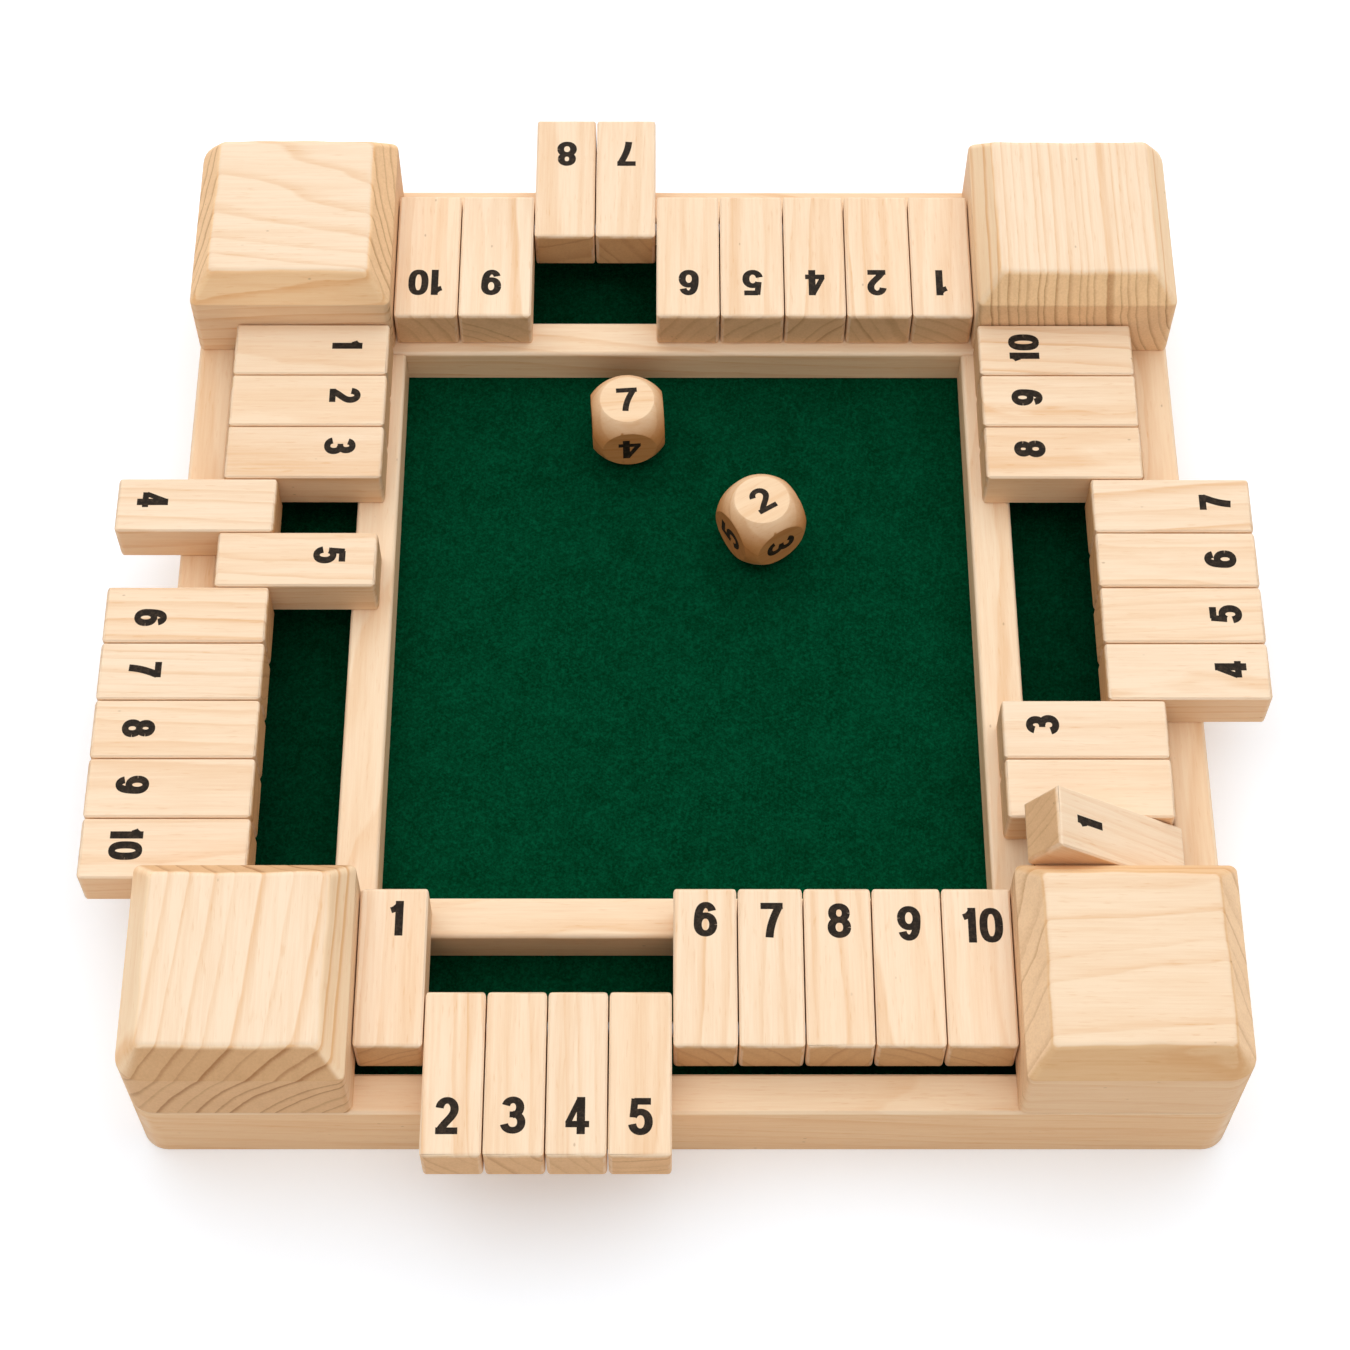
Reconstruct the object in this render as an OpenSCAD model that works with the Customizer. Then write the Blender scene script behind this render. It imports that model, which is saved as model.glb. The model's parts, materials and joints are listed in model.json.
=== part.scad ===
// Shut the box for four players: a wooden frame with four rows of numbered tiles
// that turn on steel rods, round a felt-lined dice well, and two numbered dice.
// The origin is on the table under the middle of the board. X runs to the right,
// Y runs to the far side, and Z is up. Sizes are in millimetres and degrees.

/* [Board] */
// Width of the board over its outer rails
board_w = 220; // [196:1:300]
// Depth of the board over its outer rails
board_d = 230; // [200:1:300]
// Height of the outer rails above the table
rail_h = 20; // [16:0.5:26]
// Width of an outer rail
outer_rail_w = 8.5; // [6:0.5:12]
// Width of an inner rail round the dice well
inner_rail_w = 9; // [6:0.5:12]
// Distance between an outer rail and its inner rail
channel_w = 29.5; // [27:0.5:34]
// Radius of the frame's four upright corners
corner_r = 5.5; // [2:0.5:8]
// Chamfer along the upper edges of the rails
rail_ease = 0.6; // [0.2:0.1:1.2]
// Thickness of the base board
base_t = 9.5; // [5:0.5:12]
// Thickness of the felt on the base board
felt_t = 1; // [0.5:0.1:2]

/* [Corner Blocks] */
// Width of a corner block, along X
block_w = 44.5; // [40:0.5:50]
// Depth of a corner block, along Y
block_d = 46; // [40:0.5:50]
// Height of a corner block above the rails
block_h = 23.5; // [18:0.5:30]
// How far the sloping hip reaches in over the top of a block
hip_in = 4.7; // [2:0.1:8]
// How far the sloping hip reaches down a block
hip_h = 6.5; // [2:0.5:8]
// Radius of a block's upright edges that face the tiles
block_edge_r = 1.6; // [0.5:0.1:3]

/* [Tiles] */
// Thickness of a tile
tile_t = 10.4; // [7:0.2:12]
// Distance from the rod's axis to the near end of a tile
tile_heel = 6; // [5:0.1:8]
// Space between the near end of a folded-in tile and the outer rail
heel_clear = 1.2; // [0.6:0.1:2]
// How far a folded-in tile reaches over the inner rail
tile_seat = 6.2; // [4:0.2:8]
// Space between neighbouring tiles, and between the end tiles and the blocks
tile_gap = 0.3; // [0.2:0.05:0.5]
// Radius of a tile's corners, seen from above
tile_corner_r = 1.2; // [0.4:0.1:2]
// Radius of the edges across a tile's ends
tile_end_r = 1; // [0.4:0.1:2]
// Chamfer along a tile's four long edges
tile_ease = 0.4; // [0.2:0.1:1]
// Angle at which one tile of the right row has caught on its way down
caught_angle = 35; // [0:1:80]

/* [Rods] */
// Diameter of a steel rod
rod_d = 3; // [2:0.1:4]
// Radial clearance of a rod in the tiles
rod_clear = 0.08; // [0.05:0.01:0.1]
// Depth to which a rod's end sits in a corner block
rod_seat = 8; // [5:0.5:12]
// Chamfer on a rod's ends
rod_ease = 0.3; // [0.1:0.1:0.6]

/* [Dice] */
// Size of a die across its flat faces
die_size = 16; // [12:0.5:18]
// Diameter of the ball that rounds off a die, as a share of its size
die_ball = 1.25; // [1.15:0.01:1.35]
// Turn of the first die about the upright
die_1_turn = 4; // [-45:1:45]
// Turn of the second die about the upright
die_2_turn = 32; // [-45:1:45]

/* [Hidden] */
$fn = 32;
// How far a hole is cut past the face it starts from
cut_past = 1;
SIDES = ["front", "right", "back", "left"];
CORNERS = ["front_left", "front_right", "back_right", "back_left"];

// Heights
felt_top = base_t + felt_t;
rod_z = rail_h + tile_t / 2;

// Distances inwards from the board's outer edge, the same on all four sides
channel_in = outer_rail_w;
inner_rail_in = channel_in + channel_w;
well_in = inner_rail_in + inner_rail_w;
rod_in = outer_rail_w + heel_clear + tile_heel;
tile_l = inner_rail_in + tile_seat - (rod_in - tile_heel);

// The space inside the outer rails and the dice well inside the inner rails
inside_w = board_w - 2 * outer_rail_w;
inside_d = board_d - 2 * outer_rail_w;
well_w = board_w - 2 * well_in;
well_d = board_d - 2 * well_in;

// Where the dice lie, as shares of the well's half width and half depth
die_1_at = [-0.20, 0.75];
die_2_at = [0.27, 0.36];

// The numbers on each side, from left to right for the player who sits there.
// The back row has nine tiles and lacks its 3.
ONE_TO_TEN = [for (n = [1:10]) n];
NUMBERS = [ONE_TO_TEN, ONE_TO_TEN, [for (n = ONE_TO_TEN) if (n != 3) n], ONE_TO_TEN];

// Widths of a row's tiles against each other: hand-sawn tiles are not all alike
EQUAL = [for (n = [1:10]) 1];
FRONT_WIDTHS = [1.07, 0.93, 0.92, 0.92, 0.96, 0.99, 1.01, 1.05, 1.07, 1.08];
BACK_WIDTHS = [0.95, 1.02, 0.96, 1, 1, 0.96, 0.96, 1.15, 1];
WIDTHS = [FRONT_WIDTHS, EQUAL, BACK_WIDTHS, EQUAL];

// The tiles that lie folded out over the outer rail
FOLDED_OUT = [[2, 3, 4, 5], [4, 5, 6, 7], [7, 8], [4, 6, 7, 8, 9, 10]];

// Front and back run along X, and right and left run along Y
function runs_along_x(s) = s % 2 == 0;

// Length of a row between its two corner blocks
function row_l(s) = runs_along_x(s) ? board_w - 2 * block_w : board_d - 2 * block_d;

// Sum of the first count values of a list
function sum_of(values, count) = count == 0 ? 0 : values[count - 1] + sum_of(values, count - 1);

// Width that a row's tiles share, once the gaps are taken off
function tiles_share(s) = row_l(s) - tile_gap * (len(WIDTHS[s]) + 1);

// Width of tile i of row s, and the place of its middle along the row
function unit_w(s) = tiles_share(s) / sum_of(WIDTHS[s], len(WIDTHS[s]));
function tile_w(s, i) = unit_w(s) * WIDTHS[s][i];
function tile_x(s, i) =
    -row_l(s) / 2 + tile_gap * (i + 1) + unit_w(s) * sum_of(WIDTHS[s], i) + tile_w(s, i) / 2;

function is_in(value, list) = len([for (item = list) if (item == value) item]) > 0;

// How far a tile is turned from lying folded in
function tile_angle(s, n) =
    is_in(n, FOLDED_OUT[s]) ? 180 : (SIDES[s] == "right" && n == 1 ? caught_angle : 0);

// A rectangle with all four corners rounded
module rounded_rectangle(size, r, facets = 16) {
    square([size[0] - 2 * r, size[1]], center = true);
    square([size[0], size[1] - 2 * r], center = true);
    for (x = [-1, 1], y = [-1, 1])
        translate([x * (size[0] / 2 - r), y * (size[1] / 2 - r)])
            circle(r = r, $fn = facets);
}

// A rectangle standing on Y = 0 whose two upper corners are cut off
module cut_top_rectangle(w, h, cut_in, cut_down) {
    polygon([
        [-w / 2, 0], [w / 2, 0],
        [w / 2, h - cut_down], [w / 2 - cut_in, h],
        [-w / 2 + cut_in, h], [-w / 2, h - cut_down]
    ]);
}

// Puts a piece of one side in its place. Before it, X runs along the side and
// Y runs inwards from the board's outer edge.
module at_side(s) {
    rotate(90 * s)
        translate([0, -(runs_along_x(s) ? board_d : board_w) / 2, 0])
            children();
}

// A straight bar along X, with its upper long edges eased
module eased_bar(l, w, h) {
    rotate([90, 0, 90])
        linear_extrude(l, center = true)
            cut_top_rectangle(w, h, rail_ease, rail_ease);
}

// The frame's outline, with its four upright corners rounded
module frame_outline() {
    rounded_rectangle([board_w, board_d], corner_r, 32);
}

// Base board, held between the outer rails
module base_board() {
    color("#D8B98C")
        translate([0, 0, base_t / 2])
            cube([inside_w, inside_d, base_t], center = true);
}

// One sheet of felt over the whole base board, under the inner rails
module felt() {
    color("#0B4A2B")
        translate([0, 0, base_t + felt_t / 2])
            cube([inside_w, inside_d, felt_t], center = true);
}

// Outer rail. The front and back ones take the whole width, and their ends
// form the rounded corners. The left and right ones fit between them.
module outer_rail(s) {
    l = runs_along_x(s) ? board_w : inside_d;
    color("#E2C08F")
        intersection() {
            at_side(s)
                translate([0, outer_rail_w / 2, 0])
                    eased_bar(l, outer_rail_w, rail_h);
            linear_extrude(rail_h)
                frame_outline();
        }
}

// Inner rail, standing on the felt. The front and back ones take in the well's
// corners, where the blocks rest on them, and the other two fit between them.
module inner_rail(s) {
    l = runs_along_x(s) ? well_w + 2 * inner_rail_w : well_d;
    color("#E6C79A")
        at_side(s)
            translate([0, inner_rail_in + inner_rail_w / 2, felt_top])
                eased_bar(l, inner_rail_w, rail_h - felt_top);
}

// Corner block with sloping hips, standing on the rails. It is drawn for the
// front left corner and mirrored to the others. Two blind holes take the rods.
module corner_block(c) {
    mirror_x = c == 1 || c == 2 ? 1 : 0;
    mirror_y = c > 1 ? 1 : 0;
    middle = [(block_w - board_w) / 2, (block_d - board_d) / 2, rail_h];
    color("#E8C99C")
        mirror([mirror_x, 0, 0])
            mirror([0, mirror_y, 0])
                difference() {
                    translate(middle)
                        intersection() {
                            rotate([90, 0, 0])
                                linear_extrude(block_d, center = true)
                                    cut_top_rectangle(block_w, block_h, hip_in, hip_h);
                            rotate([90, 0, 90])
                                linear_extrude(block_w, center = true)
                                    cut_top_rectangle(block_d, block_h, hip_in, hip_h);
                            linear_extrude(block_h)
                                block_outline();
                        }
                    rod_hole_along_x();
                    rod_hole_along_y();
                }
}

// Plan of the front left block: the frame's radius outside, a small one elsewhere
module block_outline() {
    outer = [-block_w / 2 + corner_r, -block_d / 2 + corner_r];
    translate(outer)
        circle(r = corner_r, $fn = 32);
    for (x = [-1, 1], y = [-1, 1])
        if (x > 0 || y > 0)
            translate([x * (block_w / 2 - block_edge_r), y * (block_d / 2 - block_edge_r)])
                circle(r = block_edge_r, $fn = 16);
    polygon([
        [outer[0], -block_d / 2],
        [block_w / 2 - block_edge_r, -block_d / 2],
        [block_w / 2, -block_d / 2 + block_edge_r],
        [block_w / 2, block_d / 2 - block_edge_r],
        [block_w / 2 - block_edge_r, block_d / 2],
        [-block_w / 2 + block_edge_r, block_d / 2],
        [-block_w / 2, block_d / 2 - block_edge_r],
        [-block_w / 2, outer[1]]
    ]);
}

// Blind hole for the end of the front row's rod
module rod_hole_along_x() {
    translate([-row_l(0) / 2 - rod_seat, -board_d / 2 + rod_in, rod_z])
        rotate([0, 90, 0])
            cylinder(d = rod_d, h = rod_seat + cut_past);
}

// Blind hole for the end of the left row's rod
module rod_hole_along_y() {
    translate([-board_w / 2 + rod_in, -row_l(1) / 2 - rod_seat, rod_z])
        rotate([-90, 0, 0])
            cylinder(d = rod_d, h = rod_seat + cut_past);
}

// Steel rod through a row's tiles, held in two corner blocks
module rod(s) {
    l = row_l(s) + 2 * rod_seat;
    r = rod_d / 2;
    color("#B9BCC0")
        at_side(s)
            translate([-l / 2, rod_in, rod_z])
                rotate([0, 90, 0])
                    rotate_extrude()
                        polygon([
                            [0, 0], [r - rod_ease, 0], [r, rod_ease],
                            [r, l - rod_ease], [r - rod_ease, l], [0, l]
                        ]);
}

// A tile lying along Y, with the rod's axis along X through the origin. Its
// corners, its end edges and its long edges each come from one outline.
module tile_body(w) {
    difference() {
        translate([0, tile_l / 2 - tile_heel, 0])
            intersection() {
                linear_extrude(tile_t, center = true)
                    rounded_rectangle([w, tile_l], tile_corner_r);
                rotate([90, 0, 90])
                    linear_extrude(w, center = true)
                        rounded_rectangle([tile_l, tile_t], tile_end_r);
                rotate([90, 0, 0])
                    linear_extrude(tile_l, center = true)
                        eased_section(w);
            }
        rotate([0, 90, 0])
            cylinder(d = rod_d + 2 * rod_clear, h = w + 2 * cut_past, center = true, $fn = 24);
    }
}

// Section across a tile, with its four long edges chamfered
module eased_section(w) {
    square([w - 2 * tile_ease, tile_t], center = true);
    polygon([
        [-w / 2, -tile_t / 2 + tile_ease], [-w / 2 + tile_ease, -tile_t / 2],
        [w / 2 - tile_ease, -tile_t / 2], [w / 2, -tile_t / 2 + tile_ease],
        [w / 2, tile_t / 2 - tile_ease], [w / 2 - tile_ease, tile_t / 2],
        [-w / 2 + tile_ease, tile_t / 2], [-w / 2, tile_t / 2 - tile_ease]
    ]);
}

// Tile i of a row on its rod. Folded in, it rests on the inner rail. It turns
// up and over to rest on the outer rail, where its far end overhangs.
module tile(s, i) {
    color("#F0D5AC")
        at_side(s)
            translate([tile_x(s, i), rod_in, rod_z])
                rotate([tile_angle(s, NUMBERS[s][i]), 0, 0])
                    tile_body(tile_w(s, i));
}

// Die: a cube whose corners and edges are rounded off by a ball, on the felt
module die(at, turn) {
    color("#E3BC8B")
        translate([at[0] * well_w / 2, at[1] * well_d / 2, felt_top + die_size / 2])
            rotate(turn)
                intersection() {
                    cube(die_size, center = true);
                    sphere(d = die_size * die_ball, $fn = 40);
                }
}

base_board();
felt();
for (s = [0:3]) {
    outer_rail(s);
    inner_rail(s);
    corner_block(s);
    rod(s);
    for (i = [0:len(NUMBERS[s]) - 1])
        tile(s, i);
}
die(die_1_at, die_1_turn);  // die_1
die(die_2_at, die_2_turn);  // die_2
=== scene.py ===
import json
import math

import bpy
import numpy as np
from mathutils import Matrix, Vector
from mathutils.geometry import delaunay_2d_cdt


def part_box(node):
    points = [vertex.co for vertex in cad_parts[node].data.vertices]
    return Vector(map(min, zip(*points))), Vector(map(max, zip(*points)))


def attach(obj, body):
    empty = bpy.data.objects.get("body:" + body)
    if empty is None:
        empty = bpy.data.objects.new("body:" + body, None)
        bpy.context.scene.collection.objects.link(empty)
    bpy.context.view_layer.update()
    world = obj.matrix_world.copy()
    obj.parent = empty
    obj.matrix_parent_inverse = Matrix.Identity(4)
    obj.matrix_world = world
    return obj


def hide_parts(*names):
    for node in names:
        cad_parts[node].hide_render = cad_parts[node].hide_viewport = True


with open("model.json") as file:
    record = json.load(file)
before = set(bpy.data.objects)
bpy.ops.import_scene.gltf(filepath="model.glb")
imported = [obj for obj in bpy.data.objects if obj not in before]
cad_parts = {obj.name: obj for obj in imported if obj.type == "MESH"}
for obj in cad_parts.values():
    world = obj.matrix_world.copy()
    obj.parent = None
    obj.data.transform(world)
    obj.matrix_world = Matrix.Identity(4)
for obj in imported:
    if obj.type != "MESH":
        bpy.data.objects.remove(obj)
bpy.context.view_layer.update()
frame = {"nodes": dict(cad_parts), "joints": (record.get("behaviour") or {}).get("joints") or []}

NODES = frame["nodes"]
MM = 0.001
SIDES = ("front", "right", "back", "left")


# ---------------------------------------------------------------- finishes

class Signal:
    """A value that varies over a piece. Arithmetic on it adds Math nodes."""

    def __init__(self, finish, socket):
        self.finish = finish
        self.socket = socket

    def math(self, operation, *values):
        return self.finish.node("Math", list(values), operation=operation)

    def __add__(self, other):
        return self.math("ADD", self, other)

    def __sub__(self, other):
        return self.math("SUBTRACT", self, other)

    def __rsub__(self, other):
        return self.math("SUBTRACT", other, self)

    def __mul__(self, other):
        return self.math("MULTIPLY", self, other)

    def __truediv__(self, other):
        return self.math("DIVIDE", self, other)

    def __pow__(self, other):
        return self.math("POWER", self, other)

    __radd__ = __add__
    __rmul__ = __mul__

    def size(self):
        """The value without its sign."""
        return self.math("ABSOLUTE", self)

    def most(self, other):
        return self.math("MAXIMUM", self, other)


class Network:
    """A tree of shader nodes."""

    def __init__(self, tree):
        self.tree = tree

    def node(self, kind, inputs=(), output=0, stops=None, **settings):
        """Adds a node: its settings first, then the value or link of each input."""
        made = self.tree.nodes.new("ShaderNode" + kind)
        for key, value in settings.items():
            setattr(made, key, value)
        if stops:
            ramp = made.color_ramp
            while len(ramp.elements) < len(stops):
                ramp.elements.new(0.5)
            for element, (position, colour) in zip(ramp.elements, stops):
                element.position = position
                element.color = (*colour, 1)
        named = inputs.items() if isinstance(inputs, dict) else enumerate(inputs)
        for key, value in named:
            self.connect(made.inputs[key], value)
        return Signal(self, made.outputs[output])

    def connect(self, socket, value):
        if isinstance(value, Signal):
            self.tree.links.new(value.socket, socket)
        elif isinstance(value, tuple) and socket.type == "RGBA":
            socket.default_value = (*value, 1)
        else:
            socket.default_value = value

    def seen_straight(self):
        """1 for what is seen directly, in a reflection or through glass, and 0 for
        what only lights other surfaces."""
        camera, glossy, through = [self.node("LightPath", output=f"Is {kind} Ray")
                                   for kind in ("Camera", "Glossy", "Transmission")]
        return camera.most(glossy).most(through)


class Finish(Network):
    """A material made of one Principled shader and the nodes that feed it."""

    def __init__(self, name, **constants):
        self.material = bpy.data.materials.new(name)
        self.material.use_nodes = True
        super().__init__(self.material.node_tree)
        self.shader = self.tree.nodes["Principled BSDF"]
        for socket, value in constants.items():
            self.shader.inputs[socket.replace("_", " ")].default_value = value

    def feed(self, **signals):
        for socket, value in signals.items():
            self.connect(self.shader.inputs[socket.replace("_", " ")], value)
        return self.material

    def blend(self, factor, first, second, blend_type="MIX"):
        """A colour between two colours."""
        return self.node("Mix", {0: factor, 6: first, 7: second}, 2,
                         data_type="RGBA", blend_type=blend_type)

    def ease(self, value, low, high):
        """0 below low, 1 above high and a smooth step between them."""
        return self.node("MapRange", [value, low, high, 0, 1], interpolation_type="SMOOTHSTEP")

    def stretch(self, vector, *factors):
        return self.node("VectorMath", [vector, Vector(factors)], operation="MULTIPLY")

    def noise(self, vector, scale=1, detail=2, roughness=0.5):
        return self.node("TexNoise", {"Vector": vector, "Scale": scale, "Detail": detail,
                                      "Roughness": roughness})

    def local(self, place):
        """Object coordinates in mm in a piece's own frame, and the normal in it."""
        turn = place.to_euler()
        coordinates = self.node("TexCoord", output="Object")
        normal = self.node("TexCoord", output="Normal")
        position = self.node("Mapping", [coordinates, place.translation, turn, (MM, MM, MM)],
                             vector_type="TEXTURE")
        facing = self.node("Mapping", [normal, (0, 0, 0), turn, (1, 1, 1)],
                           vector_type="TEXTURE")
        return position, facing

    def split(self, vector):
        return [self.node("SeparateXYZ", [vector], axis) for axis in range(3)]

    def bump(self, height, depth_mm, strength=1.0):
        return self.node("Bump", {"Height": height, "Distance": depth_mm * MM,
                                  "Strength": strength})


PALE = (0.925, 0.725, 0.525)
LINE = (0.79, 0.49, 0.265)
END_PALE = (0.82, 0.57, 0.35)
END_LINE = (0.46, 0.245, 0.11)
SPECK = (0.30, 0.16, 0.07)
RUBBED = (0.94, 0.76, 0.58)
# Painted shade: upright faces are multiplied by this, darker and warmer than the tops.
UPRIGHT_SHADE_TINT = (0.95, 0.87, 0.77)
WELL_HALF = (63, 68)


def wood(name, place, pith=(40, -50), ring=3.2, sway=3.0, line=0.6, end_line=0.7,
         crisp=3.0, tint=(1, 1, 1), upright_shade_tint=UPRIGHT_SHADE_TINT, heel_shade_tint=None, hip_tone_and_light=None,
         end_pale_and_light=END_PALE, stripe=(0, 1, 0), seed=0.0, slant=0.0, tilt=0.0,
         rubbed=0.4, upright_until=0.45):
    """Pine cut from a log. Local X runs along the grain, all lengths in mm.

    A point's ring number is its distance from the pith line, swayed by slow noise,
    over the ring's width. Within a ring the late wood darkens slowly to a thin sharp
    line. Faces across the grain show the rings more strongly and darker; on some blocks
    their pale is painted lighter, painted light. A broad soft stripe (place across, half
    width, strength) runs along some pieces. A face whose normal lies between two of the
    piece's axes is a rounded edge, which hands and sandpaper have rubbed pale; on a corner
    block it is a sloping hip, where the lines show more, with one tint beside the grain
    and one across it, partly the hip's own tone and partly painted light and shade. Upright
    faces get painted shade, a tint darker and warmer than the tops. The end that faces
    down X, a tile's heel, may have a tint too: painted shade of the recesses it faces.
    """
    f = Finish(name, Specular_IOR_Level=0.35)
    position, facing = f.local(place)
    shifted = f.node("VectorMath", [position, Vector((seed * 37, seed * 11, seed * 23))],
                     operation="ADD")
    along, across, up = f.split(position)
    facing_along, *facing_aside = f.split(facing)
    faces = [part.size() for part in (facing_along, *facing_aside)]
    drift = f.noise(f.stretch(shifted, 0.012, 0.05, 0.05), detail=2) - 0.5
    ripple = f.noise(f.stretch(shifted, 0.07, 0.3, 0.3), detail=2) - 0.5
    side_way = across - pith[0] + along * slant
    up_way = up - pith[1] + along * tilt
    distance = (side_way * side_way + up_way * up_way) ** 0.5
    count = (distance + drift * sway * 2 + ripple * 0.6) / ring
    uneven = f.node("TexNoise", {"W": count * 0.45 + seed, "Scale": 1, "Detail": 1},
                    noise_dimensions="1D")
    count = count + uneven * 1.2
    within = count.math("FRACT", count)
    late = f.ease(within, 0.45, 0.93) ** crisp * (1 - f.ease(within, 0.94, 1.0))
    weight = f.node("TexWhiteNoise", {"W": count.math("FLOOR", count)},
                    noise_dimensions="1D")
    late = late * (weight * 0.75 + 0.4)

    fibre = f.noise(f.stretch(shifted, 0.06, 1.5, 1.5), detail=4, roughness=0.7)
    band = f.noise(f.stretch(shifted, 0.02, 0.30, 0.30), detail=2)
    fleck = f.ease(f.noise(f.stretch(shifted, 0.25, 2.2, 2.2), detail=1), 0.62, 0.78)
    pore = f.noise(shifted, scale=1.9, detail=3, roughness=0.7)
    cells = {"Vector": f.stretch(shifted, 0.20, 0.38, 0.38), "Scale": 1.0}
    chosen = f.ease(f.split(f.node("TexVoronoi", cells, 1))[0], 0.88, 0.90)
    speck = chosen * (1 - f.ease(f.node("TexVoronoi", cells), 0.03, 0.11))
    stripe_at, stripe_width, stripe_strength = stripe
    off_stripe = (across - stripe_at + drift * 8).size()
    broad = 1 - f.ease(off_stripe, stripe_width * 0.2, stripe_width)

    end = f.ease(faces[0], 0.5, 0.85)
    upright = 1 - f.ease(faces[2], 0.25, upright_until)
    sloping = (1 - upright) * (1 - f.ease(faces[2], 0.82, 0.96)) if hip_tone_and_light else 0
    side_mix = (late * line * (1 + 0.7 * sloping) + f.ease(within, 0.0, 0.9) * 0.08
                + (band - 0.5) * 0.6 + (fibre - 0.5) * 1.0 + fleck * 0.3
                + broad * stripe_strength + 0.10)
    end_mix = late * end_line + (pore - 0.5) * 0.6 + (band - 0.5) * 0.3 + 0.10
    side = f.blend(side_mix, PALE, LINE)
    across_grain = f.blend(end_mix, end_pale_and_light, END_LINE)
    # Hip tints: partly the wood's tone, partly painted light and shade.
    if hip_tone_and_light:
        side = f.blend(sloping, side, hip_tone_and_light[0], "MULTIPLY")
        across_grain = f.blend(sloping, across_grain, hip_tone_and_light[1], "MULTIPLY")
    # Painted shade: the heel end, which faces into the recesses, is tinted darker.
    if heel_shade_tint:
        heel = 1 - f.ease(facing_along, -0.85, -0.5)
        across_grain = f.blend(heel, across_grain, heel_shade_tint, "MULTIPLY")
    colour = f.blend(end, side, across_grain)
    colour = f.blend(speck * 0.45, colour, SPECK)
    colour = f.blend(1.0, colour, tint, "MULTIPLY")
    # Painted shade on the upright faces.
    colour = f.blend(upright, colour, upright_shade_tint, "MULTIPLY")
    rub = 0
    if not hip_tone_and_light:
        between = 1 - f.ease(faces[0].most(faces[1]).most(faces[2]), 0.86, 0.98)
        rub = between * f.ease(band, 0.35, 0.6)
        colour = f.blend(rub * rubbed, colour, RUBBED)
    relief = (fibre * 0.6 + late * 0.5) * (1 - end) + (pore + late * 0.6) * end - speck
    return f.feed(Base_Color=colour, Roughness=0.5 + fibre * 0.16 + end * 0.1 - rub * 0.1,
                  Normal=f.bump(relief, 0.06, 0.6))


def felt_finish():
    """Short wool fibres pressed every way: crossed stretched noises, and slow mottling.
    Outside the well, in the channels under the tiles, the felt is painted darker: painted
    shade of the rails and tiles over the channels."""
    f = Finish("felt_green", Roughness=1.0, Specular_IOR_Level=0.0)
    position, _ = f.local(Matrix())
    matted = 0
    for turn, seed in ((20, 3), (80, 9), (140, 17)):
        lay = f.node("Mapping", [position, (seed, seed, 0), (0, 0, math.radians(turn)),
                                 (1.1, 0.38, 1)], vector_type="TEXTURE")
        matted = f.noise(lay, detail=3, roughness=0.65) + matted
    fibres = f.ease(matted / 3, 0.39, 0.61)
    mottle = f.noise(position, scale=0.16, detail=4, roughness=0.6)
    lint = f.ease(f.noise(position, scale=1.1, detail=1), 0.66, 0.80)
    colour = f.blend(fibres * 0.9 + (mottle - 0.5) * 0.8 + 0.05,
                     (0.0003, 0.028, 0.009), (0.0012, 0.072, 0.029))
    colour = f.blend(lint * 0.4, colour, (0.004, 0.10, 0.045))
    x, y, _ = f.split(position)
    # Painted shade: outside the well, in the channels, the felt is multiplied by 0.7.
    painted_channel_shade = f.ease((x.size() - WELL_HALF[0]).most(y.size() - WELL_HALF[1]), 3, 6)
    colour = f.blend(painted_channel_shade, colour, (0.7, 0.7, 0.7), "MULTIPLY")
    return f.feed(Base_Color=colour, Normal=f.bump(fibres, 0.25, 0.7))


def steel_finish():
    """Drawn steel wire: rings of fine drawing marks along the rod."""
    f = Finish("steel_rod", Metallic=1.0)
    position, _ = f.local(Matrix())
    marks = f.noise(f.stretch(position, 0.2, 0.2, 6), detail=3)
    colour = f.blend(marks, (0.42, 0.42, 0.43), (0.66, 0.66, 0.67))
    return f.feed(Base_Color=colour, Roughness=0.26 + marks * 0.2)


def ink_finish():
    """Brown-black ink that soaked in unevenly along the fibres."""
    f = Finish("number_ink", Specular_IOR_Level=0.1)
    position, _ = f.local(Matrix())
    soak = f.noise(position, scale=1.2, detail=3, roughness=0.7)
    colour = f.blend(f.ease(soak, 0.40, 0.72), (0.012, 0.008, 0.005), (0.046, 0.031, 0.020))
    return f.feed(Base_Color=colour, Roughness=0.5 + soak * 0.3)


# ---------------------------------------------------------------- numbers

def stroke(points, weight=1.0):
    """Points of a number's box, each with the pen's weight there."""
    points = np.array(points, float)
    return np.column_stack([points, np.full(len(points), weight)])


def line(start, end, weight=1.0):
    """A straight pen stroke."""
    return stroke([start, end], weight)


def oval(centre, radii, first, last, fullness=2.3):
    """A pen stroke round an oval: each coordinate is its cosine or sine to the
    power 2 / fullness, which squares the oval a little."""
    count = max(6, int(abs(last - first) / 11))
    turn = np.radians(np.linspace(first, last, count + 1))
    rim = np.stack([np.cos(turn), np.sin(turn)], 1)
    rim = np.sign(rim) * np.abs(rim) ** (2 / fullness)
    return stroke(np.array(centre) + rim * np.array(radii))


def curve(start, pull_a, pull_b, end, weight=1.0, count=9):
    """A cubic Bezier pen stroke."""
    t = np.linspace(0, 1, count + 1)[:, None]
    points = [np.array(p, float) for p in (start, pull_a, pull_b, end)]
    return stroke((1 - t) ** 3 * points[0] + 3 * t * (1 - t) ** 2 * points[1]
                  + 3 * t ** 2 * (1 - t) * points[2] + t ** 3 * points[3], weight)


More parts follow.
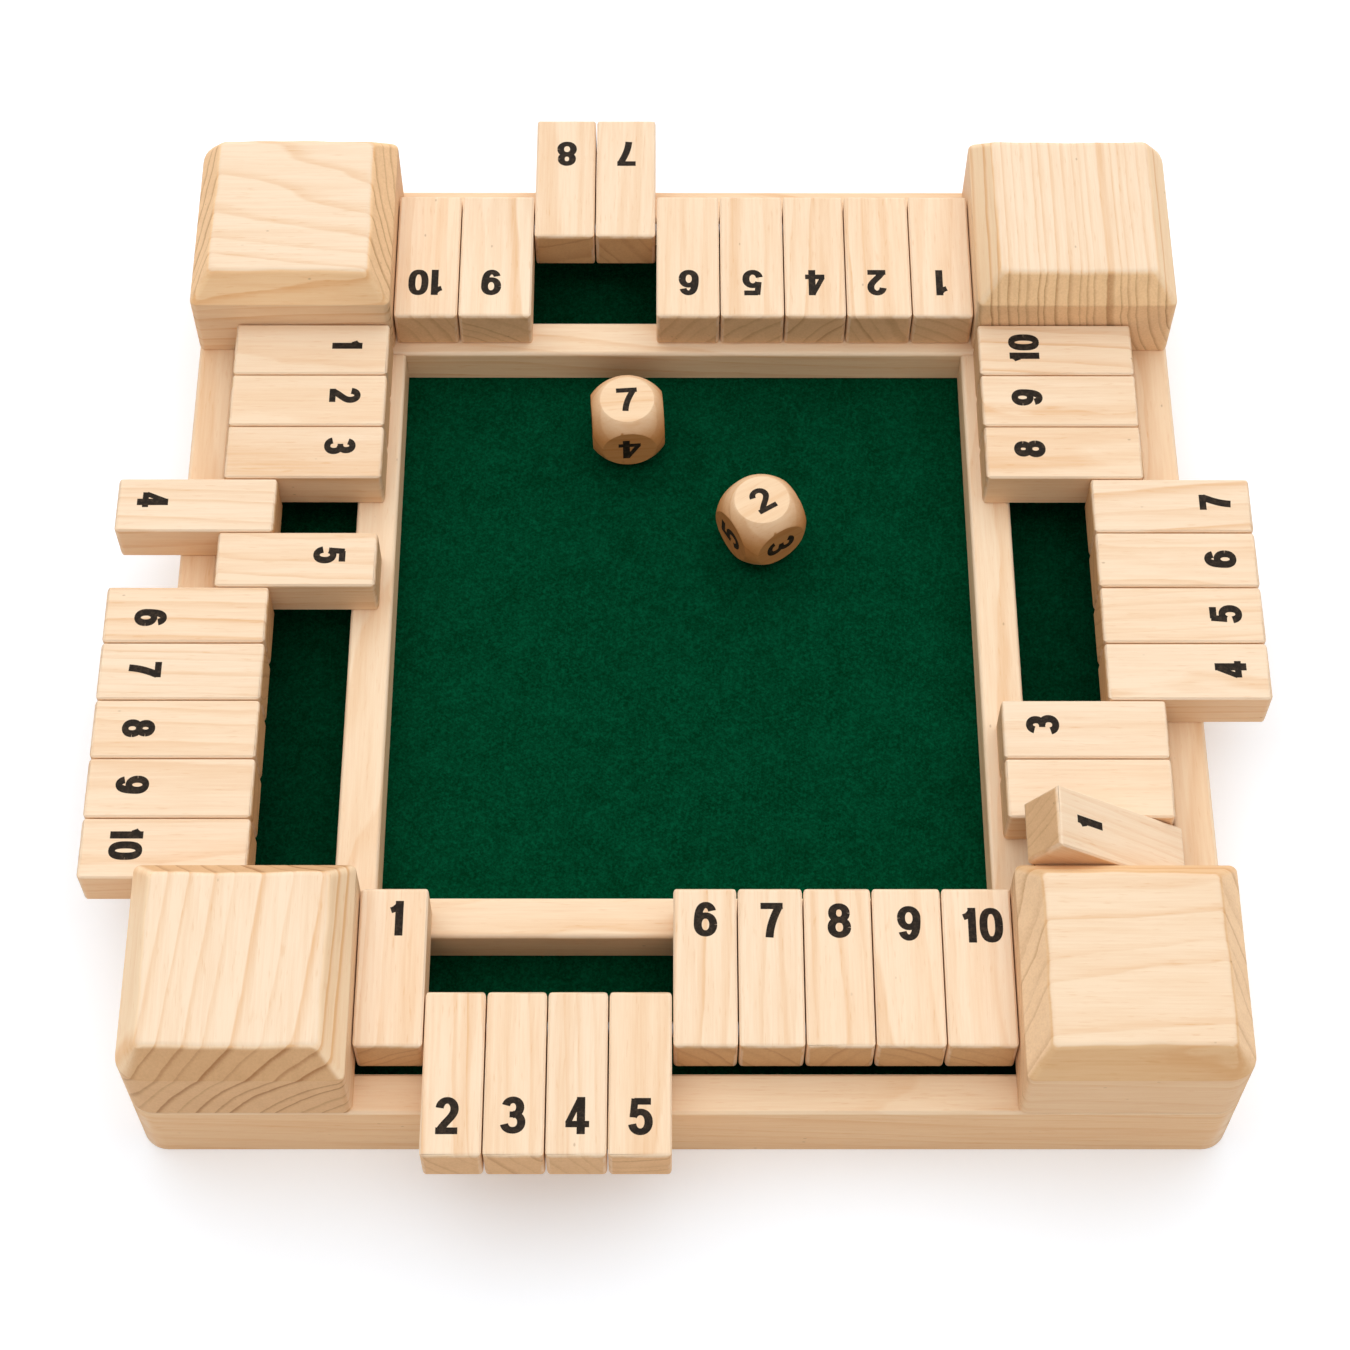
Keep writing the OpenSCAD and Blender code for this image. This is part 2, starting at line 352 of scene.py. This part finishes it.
SIX = [
    oval((0.5, 0.315), (0.5, 0.315), 0, 360, 2.15),
    np.concatenate([curve((0.0, 0.30), (0.0, 0.80), (0.18, 1.0), (0.53, 1.0)),
                    oval((0.53, 0.74), (0.41, 0.26), 84, 12, 2.0)]),
]
STROKES = {
    "0": [oval((0.5, 0.5), (0.5, 0.5), 0, 360, 2.5)],
    "1": [line((1, -0.11), (1, 1.11)),
          curve((0.95, 0.98), (0.60, 0.88), (0.20, 0.81), (-0.52, 0.78), 0.95)],
    "2": [np.concatenate([oval((0.49, 0.705), (0.47, 0.295), 172, 0, 2.1),
                          curve((0.96, 0.70), (0.96, 0.47), (0.36, 0.30), (0.06, 0.0))]),
          line((-0.20, 0), (1.18, 0))],
    "3": [oval((0.46, 0.755), (0.45, 0.245), 165, -90, 2.1),
          oval((0.46, 0.265), (0.54, 0.265), 90, -168, 2.15),
          line((0.26, 0.52), (0.55, 0.52), 0.9)],
    "4": [line((0.72, -0.11), (0.72, 1.11)), line((-0.24, 0.22), (1.24, 0.22), 0.95),
          line((-0.08, 0.26), (0.66, 1.06), 0.72)],
    "5": [line((0.10, 1), (1.14, 1)), line((0.14, 1.09), (0.03, 0.47), 0.85),
          oval((0.48, 0.325), (0.52, 0.325), 150, -168, 2.15)],
    "6": SIX,
    "7": [line((-0.22, 1), (1.22, 1)),
          curve((0.97, 0.98), (0.64, 0.64), (0.38, 0.30), (0.33, -0.11))],
    "8": [oval((0.5, 0.765), (0.44, 0.235), 0, 360, 2.15),
          oval((0.5, 0.265), (0.5, 0.265), 0, 360, 2.15)],
    "9": [np.abs([1, 1, 0] - part) for part in SIX],
}
NARROW = {"1": 0.58}
NIB = np.array([1.50, 1.28])


def strip(points, nib):
    """Quads along a pen stroke. Each point moves out by half the nib's width there to
    both sides, along the stroke's normal."""
    step = np.gradient(points, axis=0)
    step /= np.linalg.norm(step, axis=1, keepdims=True)
    out = np.stack([-step[:, 1], step[:, 0]], 1) * nib / 2
    return points + out, points - out


def number_outline(text, size):
    """The union of a number's pen strokes, as flat triangles centred on (0, 0)."""
    digit_w, height, pen = size
    nib = NIB * pen * height / 7.1
    gap = 0.62 * height / 7.1
    corners, faces, start = [], [], 0.0
    for digit in text:
        width = digit_w * NARROW.get(digit, 1)
        for part in STROKES[digit]:
            points = nib / 2 + part[:, :2] * (np.array([width, height]) - nib) + [start, 0]
            left, right = strip(points, nib * part[:, 2:])
            base = len(corners)
            corners += [*left, *right]
            n = len(left)
            faces += [(base + i, base + n + i, base + n + i + 1, base + i + 1)
                      for i in range(n - 1)]
        start += width + gap
    middle = np.array([(start - gap) / 2, height / 2])
    flat = [Vector(c - middle) for c in corners]
    points, _, triangles, _, _, drawn = delaunay_2d_cdt(flat, [], faces, 0, 1e-5)
    inked = [triangle for triangle, strokes in zip(triangles, drawn) if strokes]
    return np.array([tuple(p) for p in points]), inked


def number(text, size, place):
    """A number's plate of ink, in metres, on the plane that place gives in mm."""
    points, triangles = number_outline(text, size)
    solid = np.column_stack([points, np.full(len(points), INK_HEIGHT), np.ones(len(points))])
    return (solid @ np.array(place).T)[:, :3] * MM, triangles


INK_HEIGHT = 0.02
INK_DEPTH = 0.05


def ink_object(name, plates, body):
    """One object of several numbers, which rides on a body."""
    corners, faces = [], []
    for points, triangles in plates:
        faces += [[i + len(corners) for i in t] for t in triangles]
        corners += points.tolist()
    mesh = bpy.data.meshes.new(name)
    mesh.from_pydata(corners, [], faces)
    mesh.materials.append(INK)
    made = bpy.data.objects.new(name, mesh)
    bpy.context.scene.collection.objects.link(made)
    thick = made.modifiers.new("thickness", "SOLIDIFY")
    thick.thickness = INK_DEPTH * MM
    thick.offset = -1
    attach(made, body)
    return made


def axes(x, y, z, at):
    """A frame with these three axes at a point, both in mm."""
    turn = Matrix([x, y, z]).transposed().to_4x4()
    return Matrix.Translation(Vector(at)) @ turn


# ---------------------------------------------------------------- tiles

THICK = 10.4
HEEL = 6.0
TILE_L = 34.5
# Width and height of a digit, and the pen's breadth against NIB.
NUMBER_SIZE = {"front": (4.7, 7.6, 1.0), "right": (4.4, 6.9, 1.18),
               "back": (4.55, 7.15, 1.05), "left": (4.2, 6.9, 1.12)}
# Where the stamp fell on tiles 1 to 10 of each row: to the player's right of the
# tile's middle, and in from its end.
STAMPED = {
    "front": [(0.6, 6.8), (-0.8, 8.4), (-0.1, 8.5), (0.2, 8.4), (0.1, 8.2),
              (0.1, 7.0), (0.3, 7.2), (0.3, 7.3), (0.4, 7.9), (1.1, 8.3)],
    "right": [(0.0, 8.3), (-2.9, 10.6), (1.0, 8.4), (0.4, 8.3), (0.1, 8.1),
              (0.0, 8.0), (0.7, 7.8), (0.8, 9.9), (0.7, 10.1), (0.3, 10.2)],
    "back": [(0.0, 9.6), (0.4, 9.6), (0.0, 9.6), (0.0, 9.6), (-0.1, 9.6),
             (-0.2, 9.6), (-0.1, 10.2), (-0.2, 10.2), (1.0, 9.6), (0.25, 9.6)],
    "left": [(-1.2, 9.3), (-1.1, 9.1), (-1.4, 9.5), (-1.2, 7.8), (-0.9, 10.2),
             (0.9, 9.9), (-0.2, 9.8), (0.0, 9.7), (-0.6, 9.6), (-0.9, 9.5)],
}
INK = ink_finish()


def tile_frame(joint):
    """A tile's own frame in mm: X along its rod to the player's right, Y from the rod
    to the numbered end, Z out of the face that is up when the tile lies folded in."""
    axis = Vector(joint["axis"])
    inward = Vector((0, 0, 1)).cross(axis)
    turn = Matrix.Rotation(math.radians(-joint["range_deg"][0]), 4, axis)
    low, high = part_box(joint["child"])
    middle = (low + high) / 2
    rod = Vector(joint["pos_m"])
    at = rod + axis * (middle - rod).dot(axis)
    rest = axes(axis, inward, Vector((0, 0, 1)), (0, 0, 0))
    return Matrix.Translation(at / MM) @ turn @ rest


def dress_tile(joint, random):
    """Wood for one tile, and its number on both faces."""
    name = joint["child"]
    _, side, text = name.split("_")
    place = tile_frame(joint)
    grain = place @ Matrix.Translation((0, TILE_L / 2 - HEEL, 0)) @ Matrix.Rotation(math.pi / 2, 4, "Z")
    lean = random.uniform(-1.2, 1.2)
    depth = random.uniform(28, 80)
    warm = random.uniform(0, 1)
    look = wood(
        "wood_" + name, metres(grain),
        pith=(depth * math.sin(lean), -depth * math.cos(lean)),
        ring=random.uniform(2.2, 4.4), sway=random.uniform(1, 3.5),
        line=random.uniform(0.2, 0.6), end_line=random.uniform(0.25, 0.5),
        tint=(1, 1 - 0.03 * warm, 1 - 0.07 * warm),
        stripe=(random.uniform(-5, 5), random.uniform(1, 3), random.uniform(0, 0.35)),
        # Painted shade on the heel ends.
        heel_shade_tint=(0.80, 0.73, 0.62),
        seed=random.uniform(0, 9), slant=random.uniform(-0.08, 0.08))
    node = NODES[name]
    finish_node(node, look, 0.35)
    across, from_end = STAMPED[side][int(text) - 1]
    reach = TILE_L - HEEL - from_end
    upper = axes((1, 0, 0), (0, 1, 0), (0, 0, 1), (across, reach, THICK / 2))
    lower = axes((1, 0, 0), (0, -1, 0), (0, 0, -1), (across, reach, -THICK / 2))
    plates = [number(text, NUMBER_SIZE[side], place @ face) for face in (upper, lower)]
    ink_object("number_" + side + "_" + text, plates, name)


def metres(place):
    """The same frame with its origin in metres."""
    return Matrix.Translation(place.translation * MM) @ place.to_3x3().to_4x4()


def finish_node(node, material, rounding):
    """Gives a CAD node its material, and rounds its sharp edges by so many mm."""
    for slot in node.material_slots:
        slot.material = material
    weld = node.modifiers.new("weld", "WELD")
    weld.merge_threshold = 1e-6
    flat = node.modifiers.new("flat_faces", "DECIMATE")
    flat.decimate_type = "DISSOLVE"
    flat.angle_limit = math.radians(1)
    soft = node.modifiers.new("rounded_edges", "BEVEL")
    soft.width = rounding * MM
    soft.segments = 3
    soft.limit_method = "ANGLE"
    soft.angle_limit = math.radians(28)
    soft.harden_normals = True


random = np.random.default_rng(12)
for joint in frame["joints"]:
    if joint["type"] == "hinge":
        dress_tile(joint, random)


# ---------------------------------------------------------------- board

def centre_of(node):
    low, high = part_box(node)
    return (low + high) / 2


def grain_along(node, axis, turn=0.0):
    """A frame at a node's middle whose X runs along a board axis, turned about it."""
    angle = 0 if axis == "X" else math.pi / 2
    return (Matrix.Translation(centre_of(node)) @ Matrix.Rotation(angle, 4, "Z")
            @ Matrix.Rotation(math.radians(turn), 4, "X"))


# The four blocks anticlockwise, in the order of a rounded plan's corners, so that a
# block's place here is also which of its corners is the board's.
# Each block's hip tints and end grain pale are partly its own tone and partly painted light and shade:
# lighter on the back blocks and on the side hip faces, darker on the front blocks' front hip faces.
BLOCKS = {
    "back_right": dict(axis="Y", pith=(-62, 10), ring=2.2, sway=0.8, line=0.5, end_line=0.7,
                       crisp=1.6, seed=2.6, end_pale_and_light=(0.96, 0.71, 0.46),
                       hip_tone_and_light=((1.05, 1.0, 0.90), (1.04, 0.95, 0.80))),
    "back_left": dict(axis="X", pith=(25, -60), ring=2.4, sway=2.2, line=0.45, end_line=0.7,
                      seed=7.7, tilt=-0.08, end_pale_and_light=(0.95, 0.68, 0.44),
                      hip_tone_and_light=((1.06, 0.92, 0.72), (1.03, 0.96, 0.84))),
    "front_left": dict(axis="Y", pith=(-46, -38), ring=3.4, sway=1.4, line=0.6, end_line=0.85,
                       seed=1.3, slant=0.10, hip_tone_and_light=((1.06, 1.02, 0.94), (0.87, 0.75, 0.61))),
    "front_right": dict(axis="X", pith=(38, -52), ring=3.6, sway=3.0, line=0.4, end_line=0.40,
                        seed=4.1, tilt=0.06, tint=(0.98, 0.96, 0.93),
                        end_pale_and_light=(0.95, 0.70, 0.48),
                        hip_tone_and_light=((0.88, 0.74, 0.56), (1.05, 1.02, 0.95))),
}
HIP_IN = 4.7
HIP_H = 6.5
FRAME_CORNER_R = 5.5
BLOCK_EDGE_R = 1.6


def rounded_path(points, radii, steps=6):
    """A path whose inner corners are rounded: each becomes the parabola that touches
    both of its sides at radius x tan(half the turn) from the corner."""
    points = np.array(points, float)
    step = np.diff(points, axis=0)
    step /= np.linalg.norm(step, axis=1, keepdims=True)
    cosine = (step[:-1] * step[1:]).sum(1)
    reach = np.array(radii) * np.sqrt((1 - cosine) / (1 + cosine))
    t = np.linspace(0, 1, steps + 1)[:, None]
    pieces = [points[:1]]
    for corner, before, after, r in zip(points[1:-1], step[:-1], step[1:], reach):
        pieces.append((1 - t) ** 2 * (corner - before * r) + 2 * t * (1 - t) * corner
                      + t ** 2 * (corner + after * r))
    return np.concatenate(pieces + [points[-1:]])


def rounded_plan(half, radii):
    """A rectangle with a quarter circle of its own radius at each corner, from the
    back right one anticlockwise, and even steps along the sides between them."""
    turn = np.radians(np.linspace(0, 90, 9))
    arcs = []
    for quarter, (sign, radius) in enumerate(zip(((1, 1), (-1, 1), (-1, -1), (1, -1)), radii)):
        angle = turn + quarter * np.pi / 2
        arcs.append(np.array(sign) * (half - radius)
                    + radius * np.stack([np.cos(angle), np.sin(angle)], 1))
    t = np.linspace(0, 1, 14)[1:-1, None]
    sides = [arc[-1] + (following[0] - arc[-1]) * t
             for arc, following in zip(arcs, arcs[1:] + arcs[:1])]
    return np.concatenate([part for pair in zip(arcs, sides) for part in pair])


def block_surface(size, board_corner):
    """A corner block in mm about the middle of its foot: its plan shrinks and rises
    along the profile of foot, wall, hip and top. The sander left the upper edge uneven:
    two sines round the block move it in and out by up to 0.3 mm."""
    width, depth, height = size
    profile = rounded_path([(3, 0), (0, 0), (0, height - HIP_H), (HIP_IN, height),
                            (HIP_IN + 7, height)], (0.5, 1.2, 2.0))
    rings = []
    for inset, z in profile:
        radii = [BLOCK_EDGE_R] * 4
        radii[board_corner] = max(FRAME_CORNER_R - 2.5 * inset, radii[board_corner])
        plan = rounded_plan(np.array([width, depth]) / 2 - inset, radii)
        angle = np.arctan2(plan[:, 1], plan[:, 0]) + board_corner
        uneven = 0.2 * np.sin(3 * angle) + 0.1 * np.sin(11 * angle)
        uneven *= np.exp(-((inset - HIP_IN) / 1.8) ** 2)
        out = plan / np.linalg.norm(plan, axis=1, keepdims=True)
        rings.append(np.column_stack([plan + out * uneven[:, None], np.full(len(plan), z)]))
    return np.array(rings)


def closed_mesh(name, rings):
    """A mesh of stacked rings: quads between neighbouring rings and a face on each end."""
    levels, around, _ = rings.shape
    index = np.arange(levels * around).reshape(levels, around)
    turned = np.roll(index, -1, axis=1)
    quads = np.stack([index[:-1], turned[:-1], turned[1:], index[1:]], -1).reshape(-1, 4)
    mesh = bpy.data.meshes.new(name)
    faces = quads.tolist() + [index[0][::-1].tolist(), index[-1].tolist()]
    mesh.from_pydata(rings.reshape(-1, 3).tolist(), [], faces)
    mesh.polygons.foreach_set("use_smooth", np.ones(len(faces), bool))
    return mesh


for board_corner, (corner, look) in enumerate(BLOCKS.items()):
    node = "corner_block_" + corner
    low, high = (np.array(point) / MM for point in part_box(node))
    foot = np.array([*(low + high)[:2] / 2, low[2]])
    mesh = closed_mesh("block_" + corner,
                       (block_surface(high - low, board_corner) + foot) * MM)
    axis = look.pop("axis")
    mesh.materials.append(wood("wood_" + node, grain_along(node, axis), **look))
    block = bpy.data.objects.new("block_" + corner, mesh)
    bpy.context.scene.collection.objects.link(block)
    block.modifiers.new("flat_faces_shade_flat", "WEIGHTED_NORMAL")
    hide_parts(node)
    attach(block, "board")

for number_of_side, side in enumerate(SIDES):
    axis = "X" if number_of_side % 2 == 0 else "Y"
    for kind, tint in (("outer_rail_", (1.0, 0.95, 0.87)), ("inner_rail_", (1.0, 0.98, 0.94))):
        node = kind + side
        look = wood("wood_" + node, grain_along(node, axis),
                    pith=(random.uniform(-30, 30), -random.uniform(25, 60)),
                    ring=random.uniform(3.2, 5.0), sway=random.uniform(3, 6),
                    line=random.uniform(0.25, 0.45), end_line=0.6, tint=tint,
                    seed=random.uniform(0, 9), slant=random.uniform(-0.03, 0.03),
                    tilt=random.uniform(0.03, 0.07))
        finish_node(NODES[node], look, 0.4)

base_look = wood("wood_base_board", grain_along("base_board", "X"), pith=(10, -60), ring=5.0,
                 line=0.7, seed=5.5, tint=(0.97, 0.92, 0.85))
finish_node(NODES["base_board"], base_look, 0.2)
FELT = felt_finish()
STEEL = steel_finish()
for slot in NODES["felt"].material_slots:
    slot.material = FELT
for side in SIDES:
    for slot in NODES["rod_" + side].material_slots:
        slot.material = STEEL


# ---------------------------------------------------------------- dice

DIE_NUMBER_TOP = (4.6, 6.2, 1.05)
DIE_NUMBER_SIDE = (4.9, 7.0, 1.05)
HALF_DIE = 8.0
FACES = {
    "top": ((1, 0, 0), (0, 1, 0), (0, 0, 1)),
    "front": ((1, 0, 0), (0, 0, 1), (0, -1, 0)),
    "right": ((0, 1, 0), (0, 0, 1), (1, 0, 0)),
    "back": ((-1, 0, 0), (0, 0, 1), (0, 1, 0)),
    "left": ((0, -1, 0), (0, 0, 1), (-1, 0, 0)),
    "bottom": ((1, 0, 0), (0, -1, 0), (0, 0, -1)),
}
DICE = {
    "die_1": (4, {"top": ("7", 0), "front": ("4", 180), "right": ("3", -90),
                  "back": ("2", 90), "left": ("5", 0), "bottom": ("1", 0)}),
    "die_2": (32, {"top": ("2", 0), "front": ("3", -90), "left": ("5", 90),
                   "right": ("4", 0), "back": ("6", 90), "bottom": ("1", 0)}),
}
for die, (turn, numbers) in DICE.items():
    place = (Matrix.Translation(centre_of(die) / MM)
             @ Matrix.Rotation(math.radians(turn), 4, "Z"))
    plates = []
    for face, (text, quarter) in numbers.items():
        x, y, z = FACES[face]
        on_face = (axes(x, y, z, Vector(z) * HALF_DIE)
                   @ Matrix.Rotation(math.radians(quarter), 4, "Z"))
        size = DIE_NUMBER_TOP if face == "top" else DIE_NUMBER_SIDE
        plates.append(number(text, size, place @ on_face))
    ink_object("numbers_" + die, plates, die)
    # Painted shade: the dice's sides are tinted much darker and warmer than their tops.
    look = wood("wood_" + die, metres(place), pith=(14, -26), ring=2.6, sway=2,
                line=0.35, end_line=0.35, tint=(0.97, 0.90, 0.80),
                upright_shade_tint=(0.66, 0.42, 0.22), upright_until=1.0, rubbed=0.0,
                seed=turn / 7)
    finish_node(NODES[die], look, 0.3)


# ---------------------------------------------------------------- studio

def studio():
    """White floor, a wide soft lamp overhead and an even white surrounding."""
    scene = bpy.context.scene
    scene.view_settings.view_transform = "Standard"
    f = Finish("studio_floor", Roughness=0.9, Specular_IOR_Level=0.0, Emission_Strength=1.0)
    seen = f.seen_straight()
    f.feed(Base_Color=f.blend(seen, (0.90, 0.82, 0.73), (0.87, 0.93, 0.99)),
           Emission_Color=f.blend(seen, (0.0, 0.0, 0.0), (0.22, 0.20, 0.19)))
    mesh = bpy.data.meshes.new("studio_floor")
    half = 4.0
    mesh.from_pydata([(-half, -half, 0), (half, -half, 0), (half, half, 0), (-half, half, 0)],
                     [], [(0, 1, 2, 3)])
    mesh.materials.append(f.material)
    floor = bpy.data.objects.new("studio_floor", mesh)
    scene.collection.objects.link(floor)

    for name, energy, width, lean in (("overhead_lamp", 3.05, 110, -30), ("front_fill", 0.7, 60, 55)):
        lamp = bpy.data.lights.new(name, "SUN")
        lamp.energy = energy
        lamp.angle = math.radians(width)
        placed = bpy.data.objects.new(name, lamp)
        placed.rotation_euler = (math.radians(lean), 0, 0)
        scene.collection.objects.link(placed)

    world = bpy.data.worlds.new("white_surrounding")
    scene.world = world
    world.use_nodes = True
    surround = Network(world.node_tree)
    background = world.node_tree.nodes["Background"]
    surround.connect(background.inputs["Color"], (1, 1, 1))
    surround.connect(background.inputs["Strength"], surround.seen_straight() * 0.9 + 0.1)


def camera():
    """A long lens from the front, looking down at 60 degrees."""
    pitch, yaw, roll = (math.radians(a) for a in (-60.458, 0.318, 0.303))
    forward = Vector((math.sin(yaw) * math.cos(pitch), math.cos(yaw) * math.cos(pitch),
                      math.sin(pitch)))
    level_right = Vector((math.cos(yaw), -math.sin(yaw), 0))
    level_up = level_right.cross(forward)
    right = level_right * math.cos(roll) + level_up * math.sin(roll)
    up = level_up * math.cos(roll) - level_right * math.sin(roll)
    data = bpy.data.cameras.new("camera")
    data.lens = 78.684
    data.sensor_width = 36
    data.clip_start = 0.05
    data.clip_end = 50
    made = bpy.data.objects.new("camera", data)
    made.matrix_world = metres(axes(right, up, -forward, (-3.706, -326.152, 567.608)))
    bpy.context.scene.collection.objects.link(made)
    bpy.context.scene.camera = made


studio()
camera()
